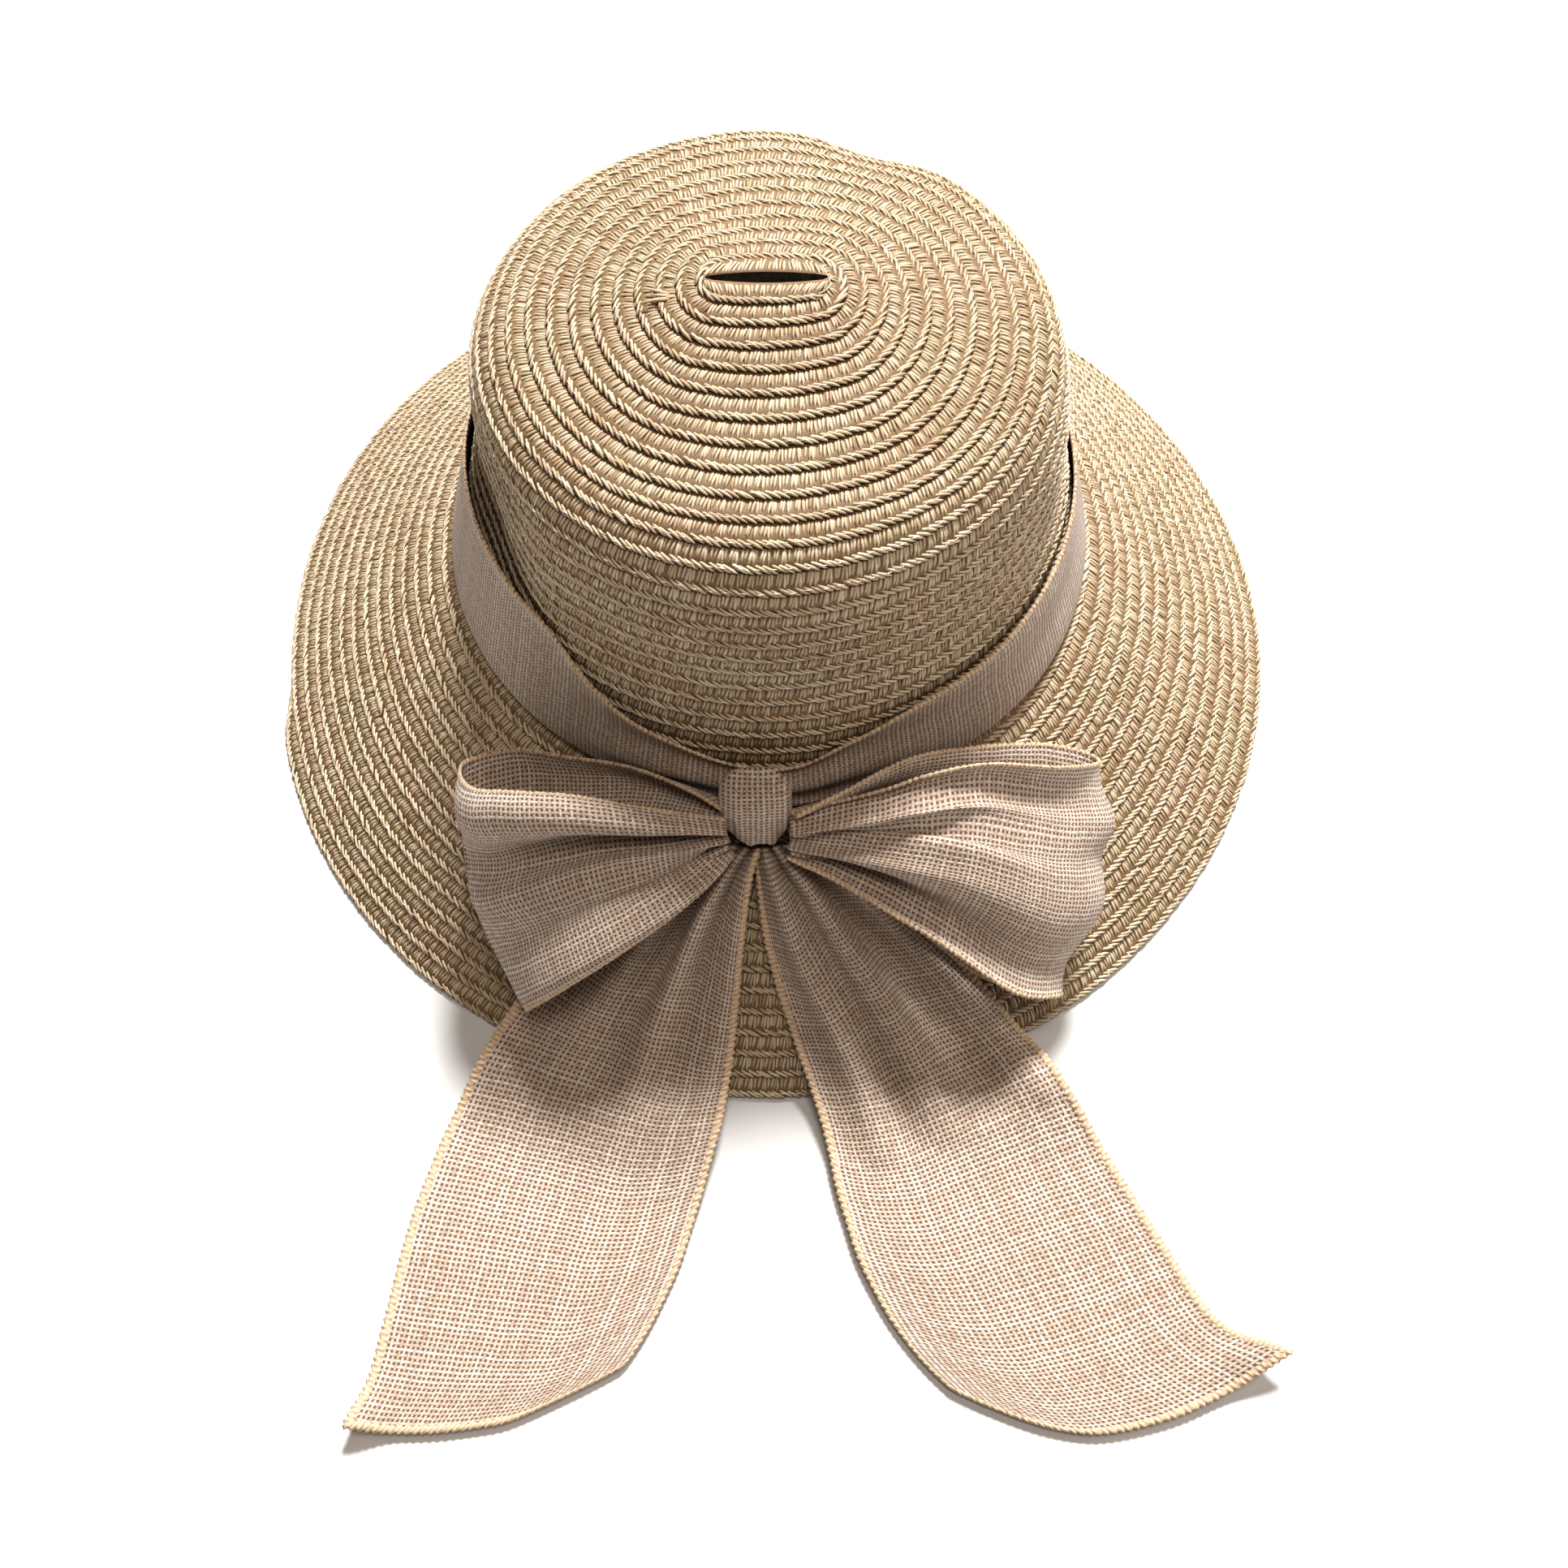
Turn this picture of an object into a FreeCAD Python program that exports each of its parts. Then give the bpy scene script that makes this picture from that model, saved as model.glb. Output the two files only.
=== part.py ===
import FreeCAD
import Part
import Sketcher
import math
import os
import re

# A lady's sun hat. One flat straw braid is sewn round and round in a spiral, each row lapping over
# the next one out, into a shallow dome, a leaning crown wall and a sloping brim. A wide ribbon
# lies round the foot of the crown and is tied at the front in a bow with two loops and two tails.
# +Z is up and the bow faces -Y. The origin is on the crown's axis in the plane of the head opening,
# where the crown wall meets the brim. The brim's edge and the ends of the tails rest on one surface.

SIZES = {
    # The straw braid
    "braid_thickness": 1.4,     # of one row
    "row_step": 0.8,            # how far a row's outer edge stands above the row that it laps over
    "dome_rows": 10,
    "shoulder_rows": 4,
    "wall_rows": 12,
    "brim_rows": 14,            # the edge row included
    # The surface that the rows follow, measured on its inside. Angles are in degrees.
    "foot_radius": 91.75,       # at the head opening
    "wall_length": 75.3,
    "wall_lean": 12.5,          # from the vertical, towards the axis as it rises
    "shoulder_radius": 21.8,
    "dome_slope": 16.0,         # below the horizontal
    "brim_slope": 43.6,
    "brim_drop": 59.0,          # from the head opening down to the surface that the hat rests on
    # Sewing thread
    "thread_radius": 0.15,
    "stitch_inset": 1.2,        # from a row's outer edge to its line of stitches
    # The loose end that the spiral starts with, on top of the dome
    "tab_length": 9.0,
    "tab_width": 4.0,
    "tab_thickness": 1.2,
    # The sweatband inside the head opening
    "head_radius": 90.7,        # a 57 cm head
    "sweatband_thickness": 0.8,
    "sweatband_height": 26.0,
    "sweatband_turn": 5.0,      # its straight lower turn, below the head opening's plane
    "sweatband_gap": 0.1,
    # The ribbon
    "ribbon_width": 72.0,
    "ribbon_thickness": 1.2,
    "ribbon_gap": 0.6,          # clear of the straw
    "band_bottom": 2.0,         # height of the band's lower edge
    "band_top": 44.0,           # height of its upper edge, at the sides and back
    "band_front_top": 17.0,     # height of its upper edge at the knot
    "band_dip_start": -52.0,    # Y where the upper edge starts to dip towards the knot
    # The knot
    "knot_x": -3.0,
    "knot_width": 20.0,
    "knot_depth": 12.0,
    "knot_height": 24.0,
    "knot_middle": 11.5,        # height of its middle
    "knot_round": 3.5,
    # The bow's loops
    "loop_throat": 4.0,         # depth of a loop where it enters the knot
    "loop_throat_width": 18.0,
    "left_loop_bulge": 18.0,    # depth of a loop at its far end
    "right_loop_bulge": 16.0,
    "left_loop_spread": 0.75,   # share of a loop's length over which it widens
    "right_loop_spread": 0.9,
    "left_loop_length": 74.0,
    "right_loop_length": 84.0,
    # The tails, which run down the brim, fold at its edge and lie on the surface
    "tail_start": 13.0,         # along the brim, from the head opening
    "tail_reach": 292.0,        # radius that no tail goes beyond
    "fold_radius": 158.6,       # distance of both folds from the crown's axis
    "fold_gap": 1.6,            # between a tail's two stretches
    "hem_width": 3.0,
    "left_fold_azimuth": -105.0,
    "right_fold_azimuth": -70.0,
}

# Where each tail's edges cross its fold line, measured along that line towards +X, and the corners
# of its end, as (x, y). Outer is the side away from the other tail.
TAILS = {
    "left": {"top": (-14.0, -2.0), "fold": (-38.0, 32.0), "end": ((-106.0, -254.0), (-37.0, -237.0))},
    "right": {"top": (0.0, 12.0), "fold": (-44.0, 30.0), "end": ((66.0, -251.0), (142.0, -229.0))},
}

# Each loop's place: where it leaves the knot, and the middle of its far end.
LOOPS = {
    "left": {"throat": (-14.2, -105.0, 9.0), "far": (-82.0, -111.0, -18.0), "across": (0.29, -0.80, -0.55)},
    "right": {"throat": (8.2, -105.0, 9.0), "far": (87.0, -110.0, -17.0), "across": (-0.16, -0.80, -0.6)},
}

# X and Y of the corner of the braid's loose start, on the dome, and its turn in degrees about +Z.
TAB_PLACE = (-24.0, 1.0)
TAB_TURN = 200.0

doc = FreeCAD.newDocument("sun_hat")
sheet = doc.addObject("Spreadsheet::Sheet", "Sizes")
for line, (word, value) in enumerate(SIZES.items(), start=1):
    sheet.set(f"A{line}", word)
    sheet.set(f"B{line}", str(value))
    sheet.setAlias(f"B{line}", word)
doc.recompute()

nodes = []


def size(word):
    """A driving dimension, as the sheet holds it."""
    return float(sheet.get(word))


def bound(text):
    """An expression written with the sheet's words, made into one that FreeCAD can follow."""
    return re.sub(r"[a-z]\w*", lambda found: f"Sizes.{found[0]}" if found[0] in SIZES else found[0], text)


def origin_plane(body, role):
    """One of a body's own origin planes."""
    return next(plane for plane in body.Origin.OriginFeatures if plane.Role == role)


def new_sketch(body, role, name):
    """A sketch on one of a body's own origin planes."""
    sketch = body.newObject("Sketcher::SketchObject", name)
    sketch.AttachmentSupport = [(origin_plane(body, role), "")]
    sketch.MapMode = "FlatFace"
    return sketch


def add_outline(sketch, corners):
    """A closed outline of straight edges. Each corner is a pair of expressions, x and y."""
    spots = [[sketch.evalExpression(bound(part)) for part in corner] for corner in corners]
    points = [FreeCAD.Vector(float(x), float(y), 0) for x, y in spots]
    first = sketch.GeometryCount
    count = len(points)
    for i in range(count):
        sketch.addGeometry(Part.LineSegment(points[i], points[(i + 1) % count]), False)
    for i in range(count):
        sketch.addConstraint(Sketcher.Constraint("Coincident", first + i, 2, first + (i + 1) % count, 1))
    for i, corner in enumerate(corners):
        for kind, text, value in zip(("DistanceX", "DistanceY"), corner, points[i]):
            place = sketch.addConstraint(Sketcher.Constraint(kind, -1, 1, first + i, 1, value))
            sketch.setExpression(f"Constraints[{place}]", bound(text))


def revolved(name, corners):
    """A body turned about the Z axis from an outline of (radius, height) corners."""
    body = doc.addObject("PartDesign::Body", name)
    sketch = new_sketch(body, "XZ_Plane", name + "_profile")
    add_outline(sketch, corners)
    turn = body.newObject("PartDesign::Revolution", name + "_turn")
    turn.Profile = sketch
    turn.ReferenceAxis = (sketch, ["V_Axis"])
    turn.Angle = 360
    return body


def padded(name, role, corners, length):
    """A body padded both ways from one of its origin planes."""
    body = doc.addObject("PartDesign::Body", name)
    sketch = new_sketch(body, role, name + "_outline")
    add_outline(sketch, corners)
    pad = body.newObject("PartDesign::Pad", name + "_pad")
    pad.Profile = sketch
    pad.setExpression("Length", bound(length))
    pad.Midplane = True
    return body


def cut_through(body, role, outlines, name):
    """Cuts outlines, drawn on an origin plane, right through a body both ways."""
    sketch = new_sketch(body, role, name)
    for corners in outlines:
        add_outline(sketch, corners)
    pocket = body.newObject("PartDesign::Pocket", name + "_cut")
    pocket.Profile = sketch
    pocket.Type = "ThroughAll"
    pocket.Midplane = True


def keep(thing, node):
    """Marks a finished sub-part. Its label names its file."""
    thing.Label = node
    nodes.append(thing)


# ---- The surface that the rows of braid follow -------------------------------------------------
# Each zone gives (radius, height) expressions for a share of the way along it and a height above it.

ARC_X = "(foot_radius - wall_length * sin(wall_lean) - shoulder_radius * cos(wall_lean))"
ARC_Z = "(wall_length * cos(wall_lean) - shoulder_radius * sin(wall_lean))"
DOME_X = f"({ARC_X} + shoulder_radius * sin(dome_slope))"
DOME_Z = f"({ARC_Z} + shoulder_radius * cos(dome_slope))"
LIP = "(braid_thickness + row_step)"


def on_dome(share, lift):
    return (
        f"{share} * {DOME_X} + {lift} * sin(dome_slope)",
        f"{DOME_Z} + (1 - {share}) * {DOME_X} * tan(dome_slope) + {lift} * cos(dome_slope)",
    )


def on_shoulder(share, lift):
    slope = f"(dome_slope + {share} * (90 - wall_lean - dome_slope))"
    return (
        f"{ARC_X} + (shoulder_radius + {lift}) * sin({slope})",
        f"{ARC_Z} + (shoulder_radius + {lift}) * cos({slope})",
    )


def on_wall(share, lift):
    return (
        f"foot_radius - (1 - {share}) * wall_length * sin(wall_lean) + {lift} * cos(wall_lean)",
        f"(1 - {share}) * wall_length * cos(wall_lean) + {lift} * sin(wall_lean)",
    )


def on_brim(share, lift):
    return (
        f"foot_radius + {share} * brim_drop / tan(brim_slope) + {lift} * sin(brim_slope)",
        f"-{share} * brim_drop + {lift} * cos(brim_slope)",
    )


def row_tops(zone, rows, first=0, last=None):
    """The outer corners of a run of lapped rows: each row rises to its outer edge, then steps down."""
    corners = []
    for row in range(first, rows if last is None else last):
        corners.append(zone(f"({row} / {rows})", "braid_thickness"))
        corners.append(zone(f"({row + 1} / {rows})", LIP))
    return corners


def row_backs(zone, rows, first=0, last=None):
    """The inner corners of the same rows, from the last one back to the first."""
    ends = range(rows if last is None else last, first - 1, -1)
    return [zone(f"({row} / {rows})", "0") for row in ends]


DOME_ROWS, SHOULDER_ROWS, WALL_ROWS, BRIM_ROWS = (
    int(size(word)) for word in ("dome_rows", "shoulder_rows", "wall_rows", "brim_rows")
)


def build_crown():
    """The dome with its shoulder, and the wall below it."""
    apex = f"{DOME_Z} + {DOME_X} * tan(dome_slope)"
    tip = [("0", f"{apex} + braid_thickness / cos(dome_slope)")]
    tip += row_tops(on_dome, DOME_ROWS)[1:]
    tip += row_tops(on_shoulder, SHOULDER_ROWS)
    tip += row_backs(on_shoulder, SHOULDER_ROWS)
    tip += row_backs(on_dome, DOME_ROWS)[1:-1]
    tip += [("0", apex)]
    keep(revolved("crown_tip", tip), "crown_tip")

    wall = row_tops(on_wall, WALL_ROWS)[:-1]
    wall += [(f"foot_radius + {LIP} / cos(wall_lean)", "0")]
    wall += row_backs(on_wall, WALL_ROWS)
    keep(revolved("crown_wall", wall), "crown_wall")


def build_brim():
    """The brim, and its edge row, whose flat underside stands on the surface."""
    inner_rows = BRIM_ROWS - 1
    brim = [("foot_radius + braid_thickness / sin(brim_slope)", "0")]
    brim += row_tops(on_brim, BRIM_ROWS, 0, inner_rows)[1:]
    brim += row_backs(on_brim, BRIM_ROWS, 0, inner_rows)
    keep(revolved("brim", brim), "brim")

    under = "foot_radius + brim_drop / tan(brim_slope)"
    edge = [
        on_brim(f"({inner_rows} / {BRIM_ROWS})", "braid_thickness"),
        (f"{under} + {LIP} / sin(brim_slope)", "-brim_drop"),
        (under, "-brim_drop"),
        on_brim(f"({inner_rows} / {BRIM_ROWS})", "0"),
    ]
    keep(revolved("brim_edge_row", edge), "brim_edge_row")


def build_thread_rings(node, spots):
    """A group of rings of thread, one on each row, as separate solids in one node."""
    rings = []
    for number, (radius, height) in enumerate(spots, start=1):
        ring = doc.addObject("Part::Torus", f"{node}_{number}")
        ring.setExpression("Radius1", bound(radius))
        ring.setExpression("Radius2", bound("thread_radius"))
        ring.setExpression(".Placement.Base.z", bound(height))
        rings.append(ring)
    group = doc.addObject("Part::Compound", node)
    group.Links = rings
    keep(group, node)


def stitch_lines(zone, rows, length, first=0):
    """Where the thread lies on each row: a little in from the row's outer edge."""
    above = f"({LIP} + thread_radius)"
    return [zone(f"({row + 1} / {rows} - stitch_inset / {length})", above) for row in range(first, rows)]


def build_thread():
    """The clear thread that sews each row down onto the next."""
    dome = stitch_lines(on_dome, DOME_ROWS, f"({DOME_X} / cos(dome_slope))")
    arc = "(shoulder_radius * (90 - wall_lean - dome_slope) * pi / 180)"
    shoulder = stitch_lines(on_shoulder, SHOULDER_ROWS, arc)
    build_thread_rings("tip_sewing_thread", dome + shoulder)
    build_thread_rings("wall_sewing_thread", stitch_lines(on_wall, WALL_ROWS, "wall_length")[:-1])
    slant = "(brim_drop / sin(brim_slope))"
    build_thread_rings("brim_sewing_thread", stitch_lines(on_brim, BRIM_ROWS, slant)[:-1])


def build_start_tab():
    """The loose end that the braid starts with, lying on the dome beside the first rows."""
    tab = doc.addObject("Part::Box", "braid_start_tab")
    tab.setExpression("Length", bound("tab_length"))
    tab.setExpression("Width", bound("tab_width"))
    tab.setExpression("Height", bound("tab_thickness"))
    x, y = TAB_PLACE
    out = math.hypot(x, y)
    slope = math.radians(size("dome_slope"))
    apex = float(sheet.evalExpression(bound(f"{DOME_Z} + {DOME_X} * tan(dome_slope)")))
    lip = size("braid_thickness") + size("row_step") + 2 * size("thread_radius")
    clear = 0.2
    height = apex - out * math.tan(slope) + (lip + clear) / math.cos(slope)
    lie = FreeCAD.Rotation(FreeCAD.Vector(y / out, -x / out, 0), -size("dome_slope"))
    turn = FreeCAD.Rotation(FreeCAD.Vector(0, 0, 1), TAB_TURN)
    tab.Placement = FreeCAD.Placement(FreeCAD.Vector(x, y, height), lie.multiply(turn))
    keep(tab, "braid_start_tab")


def build_sweatband():
    """The tape inside the head opening, and the two lines of thread that hold it."""
    back = "(foot_radius - sweatband_gap)"
    top = "(sweatband_height * tan(wall_lean))"
    band = [
        ("head_radius", "-sweatband_turn"),
        (back, "-sweatband_turn"),
        (back, "0"),
        (f"{back} - {top}", "sweatband_height"),
        (f"{back} - {top} - sweatband_thickness", "sweatband_height"),
        ("head_radius", "0"),
    ]
    keep(revolved("sweatband", band), "sweatband")
    rings = [
        ("head_radius - thread_radius", "-0.3 * sweatband_turn"),
        ("head_radius - thread_radius", "-0.7 * sweatband_turn"),
    ]
    build_thread_rings("sweatband_thread", rings)


def build_ribbon_band():
    """The ribbon round the foot of the crown. Its upper edge dips to the knot at the front."""
    near = f"({LIP} + ribbon_gap)"
    far = f"({LIP} + ribbon_gap + ribbon_thickness)"

    def on_band(lift, height):
        return (f"foot_radius + {lift} / cos(wall_lean) - {height} * tan(wall_lean)", height)

    corners = [
        on_band(near, "band_bottom"),
        on_band(far, "band_bottom"),
        on_band(far, "band_top"),
        on_band(near, "band_top"),
    ]
    body = revolved("ribbon_band", corners)
    over = "2 * band_top"
    dip = [
        ("band_dip_start", "band_top"),
        ("-foot_radius", "band_front_top"),
        ("-2 * foot_radius", "band_front_top"),
        ("-2 * foot_radius", over),
        ("band_dip_start", over),
    ]
    cut_through(body, "YZ_Plane", [dip], "band_dip")
    keep(body, "ribbon_band")


def build_knot():
    """The ribbon wrapped over the middle of the bow, leaning with the crown wall."""
    half_width, half_height = "knot_width / 2", "knot_height / 2"
    corners = [
        (f"-{half_width}", f"-{half_height}"),
        (half_width, f"-{half_height}"),
        (half_width, half_height),
        (f"-{half_width}", half_height),
    ]
    body = padded("bow_knot", "XZ_Plane", corners, "knot_depth")
    doc.recompute()
    rounded = body.newObject("PartDesign::Fillet", "knot_edges")
    pad = doc.getObject("bow_knot_pad")
    rounded.Base = (pad, [f"Edge{i}" for i in range(1, len(pad.Shape.Edges) + 1)])
    rounded.setExpression("Radius", bound("knot_round"))
    lean = math.radians(size("wall_lean"))
    back = size("braid_thickness") + size("row_step") + size("ribbon_gap") + size("ribbon_thickness")
    back += size("ribbon_gap") / 2 + size("knot_depth") / 2
    middle = size("knot_middle")
    out = size("foot_radius") - middle * math.tan(lean) + back / math.cos(lean)
    place = FreeCAD.Vector(size("knot_x"), -out, middle)
    body.Placement = FreeCAD.Placement(place, FreeCAD.Rotation(FreeCAD.Vector(1, 0, 0), -size("wall_lean")))
    keep(body, "bow_knot")


def build_loop(side):
    """One loop of the bow: the ribbon goes out, turns round at the far end and comes back."""
    length = f"{side}_loop_length"
    half = f"({side}_loop_bulge / 2)"
    turn = f"({length} - {half})"
    wide = f"{side}_loop_spread * {length}"
    throat, thick = "loop_throat / 2", "ribbon_thickness"
    name = f"{side}_loop"
    body = doc.addObject("PartDesign::Body", name)
    sketch = new_sketch(body, "XY_Plane", name + "_teardrop")
    rim = 6
    outer = [("0", f"-{throat}")]
    outer += [
        (f"{turn} + {half} * sin({180 * i / rim})", f"-{half} * cos({180 * i / rim})") for i in range(rim + 1)
    ]
    outer += [("0", throat)]
    small = f"({half} - {thick})"
    inner = [("4", f"-{throat} + {thick}")]
    inner += [
        (f"{turn} + {small} * sin({180 * i / rim})", f"-{small} * cos({180 * i / rim})") for i in range(rim + 1)
    ]
    inner += [("4", f"{throat} - {thick}")]
    add_outline(sketch, outer)
    add_outline(sketch, inner)
    pad = body.newObject("PartDesign::Pad", name + "_pad")
    pad.Profile = sketch
    pad.setExpression("Length", bound("ribbon_width"))
    pad.Midplane = True
    corners = [
        ("-1", "{sign} * loop_throat_width / 2"),
        ("0", "{sign} * loop_throat_width / 2"),
        (wide, "{sign} * ribbon_width / 2"),
        (wide, "{sign} * ribbon_width"),
        ("-1", "{sign} * ribbon_width"),
    ]
    sides = [[(x, y.format(sign=sign)) for x, y in corners] for sign in ("1", "-1")]
    cut_through(body, "XZ_Plane", sides, name + "_taper")
    place = LOOPS[side]
    along = FreeCAD.Vector(*place["far"]) - FreeCAD.Vector(*place["throat"])
    across = FreeCAD.Vector(*place["across"])
    up = along.cross(across)
    if up.z < 0:
        up = -up
    turned = FreeCAD.Rotation(along, up, along.cross(up), "XYZ")
    body.Placement = FreeCAD.Placement(FreeCAD.Vector(*place["throat"]), turned)
    keep(body, name)


def build_tail_layer():
    """The sheet that both tails are cut from: down the brim, over its edge and along the surface."""
    near = f"({LIP} + ribbon_gap)"
    far = f"({LIP} + ribbon_gap + ribbon_thickness)"
    start = "(tail_start * sin(brim_slope) / brim_drop)"
    floor_near = f"foot_radius + brim_drop / tan(brim_slope) + {near} / sin(brim_slope)"
    floor_far = f"foot_radius + (brim_drop - ribbon_thickness) / tan(brim_slope) + {far} / sin(brim_slope)"
    corners = [
        on_brim(start, near),
        (floor_near, "-brim_drop"),
        ("tail_reach", "-brim_drop"),
        ("tail_reach", "-brim_drop + ribbon_thickness"),
        (floor_far, "-brim_drop + ribbon_thickness"),
        on_brim(start, far),
    ]
    return revolved("tail_layer", corners)


def fold_point(side, along, out):
    """A point given from a tail's fold line: along it towards +X, and out from the crown's axis."""
    azimuth = f"{side}_fold_azimuth"
    return (
        f"(fold_radius + {out}) * cos({azimuth}) - {along} * sin({azimuth})",
        f"(fold_radius + {out}) * sin({azimuth}) + {along} * cos({azimuth})",
    )


def build_tail(side, layer):
    """One tail: the stretch on the brim, the stretch beyond the fold, and the hem at its end."""
    tail = TAILS[side]
    low, high = tail["fold"]
    (left_x, left_y), (right_x, right_y) = tail["end"]
    run = math.hypot(right_x - left_x, right_y - left_y)
    back = size("hem_width")
    in_x, in_y = -(right_y - left_y) / run * back, (right_x - left_x) / run * back
    end = [(str(left_x), str(left_y)), (str(right_x), str(right_y))]
    hem = [(str(left_x + in_x), str(left_y + in_y)), (str(right_x + in_x), str(right_y + in_y))]
    top_y = "-(foot_radius + tail_start / 2)"
    upper = [
        (str(tail["top"][0]), top_y),
        fold_point(side, str(low), "-fold_gap"),
        fold_point(side, str(high), "-fold_gap"),
        (str(tail["top"][1]), top_y),
    ]
    lower = [fold_point(side, str(low), "0"), hem[0], hem[1], fold_point(side, str(high), "0")]
    hem_strip = [hem[0], end[0], end[1], hem[1]]
    for stretch, corners in (("upper", upper), ("lower", lower), ("hem", hem_strip)):
        node = f"{side}_tail_{stretch}"
        outline = padded(node + "_cutter", "XY_Plane", corners, "4 * brim_drop")
        cloth = doc.addObject("Part::Common", node)
        cloth.Base = layer
        cloth.Tool = outline
        keep(cloth, node)


build_crown()
build_brim()
build_thread()
build_start_tab()
build_sweatband()
build_ribbon_band()
build_knot()
for side in ("left", "right"):
    build_loop(side)
tail_layer = build_tail_layer()
for side in ("left", "right"):
    build_tail(side, tail_layer)

doc.recompute()
for thing in doc.Objects:
    if "Invalid" in thing.State or "Error" in thing.State:
        raise RuntimeError(f"{thing.Name} failed: {thing.State}")
for thing in nodes:
    if thing.Shape.isNull() or not thing.Shape.isValid() or thing.Shape.Volume <= 0:
        raise RuntimeError(f"{thing.Label} has no valid shape")

os.makedirs("parts", exist_ok=True)
for thing in nodes:
    thing.Shape.exportStep(f"parts/{thing.Label}.step")
    box = thing.Shape.BoundBox
    print(
        f"{thing.Label:22s} volume {thing.Shape.Volume:9.0f}  solids {len(thing.Shape.Solids):3d}"
        f"  x {box.XMin:7.1f} {box.XMax:7.1f}  y {box.YMin:7.1f} {box.YMax:7.1f}  z {box.ZMin:7.1f} {box.ZMax:7.1f}"
    )
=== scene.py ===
"""The looks of a braided straw sun hat with a bow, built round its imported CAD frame."""
import math

import bpy
import numpy as np
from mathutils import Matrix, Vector


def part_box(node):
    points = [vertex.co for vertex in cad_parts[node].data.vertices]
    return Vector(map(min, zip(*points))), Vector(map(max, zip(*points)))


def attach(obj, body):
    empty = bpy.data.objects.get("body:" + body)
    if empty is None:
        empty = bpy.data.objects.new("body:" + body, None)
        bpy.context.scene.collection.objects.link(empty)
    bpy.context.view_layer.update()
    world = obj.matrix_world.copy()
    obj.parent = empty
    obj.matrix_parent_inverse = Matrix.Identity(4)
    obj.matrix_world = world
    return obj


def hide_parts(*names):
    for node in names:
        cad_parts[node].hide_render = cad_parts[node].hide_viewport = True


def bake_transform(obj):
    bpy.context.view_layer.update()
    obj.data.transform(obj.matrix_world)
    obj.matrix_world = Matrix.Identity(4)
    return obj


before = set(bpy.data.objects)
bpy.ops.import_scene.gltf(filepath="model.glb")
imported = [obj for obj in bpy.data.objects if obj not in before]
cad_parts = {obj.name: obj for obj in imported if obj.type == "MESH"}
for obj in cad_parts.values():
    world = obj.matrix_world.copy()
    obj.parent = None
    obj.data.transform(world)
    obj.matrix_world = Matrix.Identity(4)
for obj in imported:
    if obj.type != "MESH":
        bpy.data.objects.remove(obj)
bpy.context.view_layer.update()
MM = 0.001
rng = np.random.default_rng(11)

# ---------------------------------------------------------------- the hat's generating line, mm
FOOT, WALL, SHOULDER = 91.75, 75.3, 21.8
LEAN, DOME, SLOPE = math.radians(12.5), math.radians(16.0), math.radians(43.6)
DROP = 59.0
TIP_ROWS, WALL_TOP, WALL_FOOT, ROWS = 10, 14, 26, 40
FLOOR = -DROP
PITCH = 6.2
LAP = 0.19          # share of a row that lies over the next
STRIP = PITCH * (1 + LAP)
TURN = 2 * math.pi
SPIRAL_AT = math.radians(-175)      # azimuth at which the spiral ends, at the left

# How the real hat departs from the plain line above, mm.
BULGE, WAIST = 2.6, 1.6                                     # under the shoulder, and at the ribbon
DENT, DENT_AT = 4.6, math.radians(200)                      # the wall's left side is pushed in
RIDGE, RIDGE_AT = 0.8, math.radians(226)                    # the soft edge in front of that
TIP_DIP, TIP_IN, DIP_AT = 3.4, 1.5, math.radians(68)        # the tip dips at the back
BRIM_OUT, BRIM_STRETCH = 1.3, 4.4                           # all round, and where the last row is short
ROWS_APART, SLIT_HALF, SLIT_GAPE = 10.2, 5.2, 1.2           # the long start of the spiral

# The plait and its sewing, mm.
MIDDLE_LIFT, EDGE_LIFT = 0.62, 1.1      # how high the strands lie above the inner surface
REPEAT = 3.86                           # of strip to four rungs
STITCH_EVERY, STITCH_LONG, STITCH_AT = 3.95, 2.5, 5.95

# Cloth, mm.
CUT = 72.0                              # the ribbon's width
RIBBON_THICK, BAND_THICK, TAPE_THICK = 0.8, 0.7, 0.5
TAPE_WIDE, TAPE_RADIUS, BAND_RADIUS = 31.0, 88.5, 93.0


def generating_line():
    """Radius, height and lean of the normal of the hat's inner surface, by row."""
    centre_r = FOOT - WALL * math.sin(LEAN) - SHOULDER * math.cos(LEAN)
    centre_z = WALL * math.cos(LEAN) - SHOULDER * math.sin(LEAN)
    edge_r = centre_r + SHOULDER * math.sin(DOME)
    edge_z = centre_z + SHOULDER * math.cos(DOME)
    rows, line = np.linspace(0, ROWS + 1, 1641), []
    for t in rows:
        if t < TIP_ROWS:
            r = edge_r * t / TIP_ROWS
            line.append((r, edge_z + (edge_r - r) * math.tan(DOME), DOME))
        elif t < WALL_TOP:
            a = DOME + (math.pi / 2 - LEAN - DOME) * (t - TIP_ROWS) / (WALL_TOP - TIP_ROWS)
            line.append((centre_r + SHOULDER * math.sin(a), centre_z + SHOULDER * math.cos(a), a))
        elif t < WALL_FOOT:
            up = WALL * (WALL_FOOT - t) / (WALL_FOOT - WALL_TOP)
            line.append((FOOT - up * math.sin(LEAN), up * math.cos(LEAN), math.pi / 2 - LEAN))
        else:
            out = DROP / math.sin(SLOPE) * (t - WALL_FOOT) / (ROWS - WALL_FOOT)
            line.append((FOOT + out * math.cos(SLOPE), -out * math.sin(SLOPE), SLOPE))
    line = np.array(line)
    soft = np.ones(17) / 17
    for k in range(3):
        line[20:-20, k] = np.convolve(line[:, k], soft, "same")[20:-20]
    return rows, line


ROW_AT, LINE = generating_line()


def smooth(x):
    x = np.clip(x, 0, 1)
    return x * x * (3 - 2 * x)


def bump(x, middle, width):
    return np.exp(-((x - middle) / width) ** 2)


def turn_gap(a, b):
    return (a - b + math.pi) % TURN - math.pi


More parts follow.
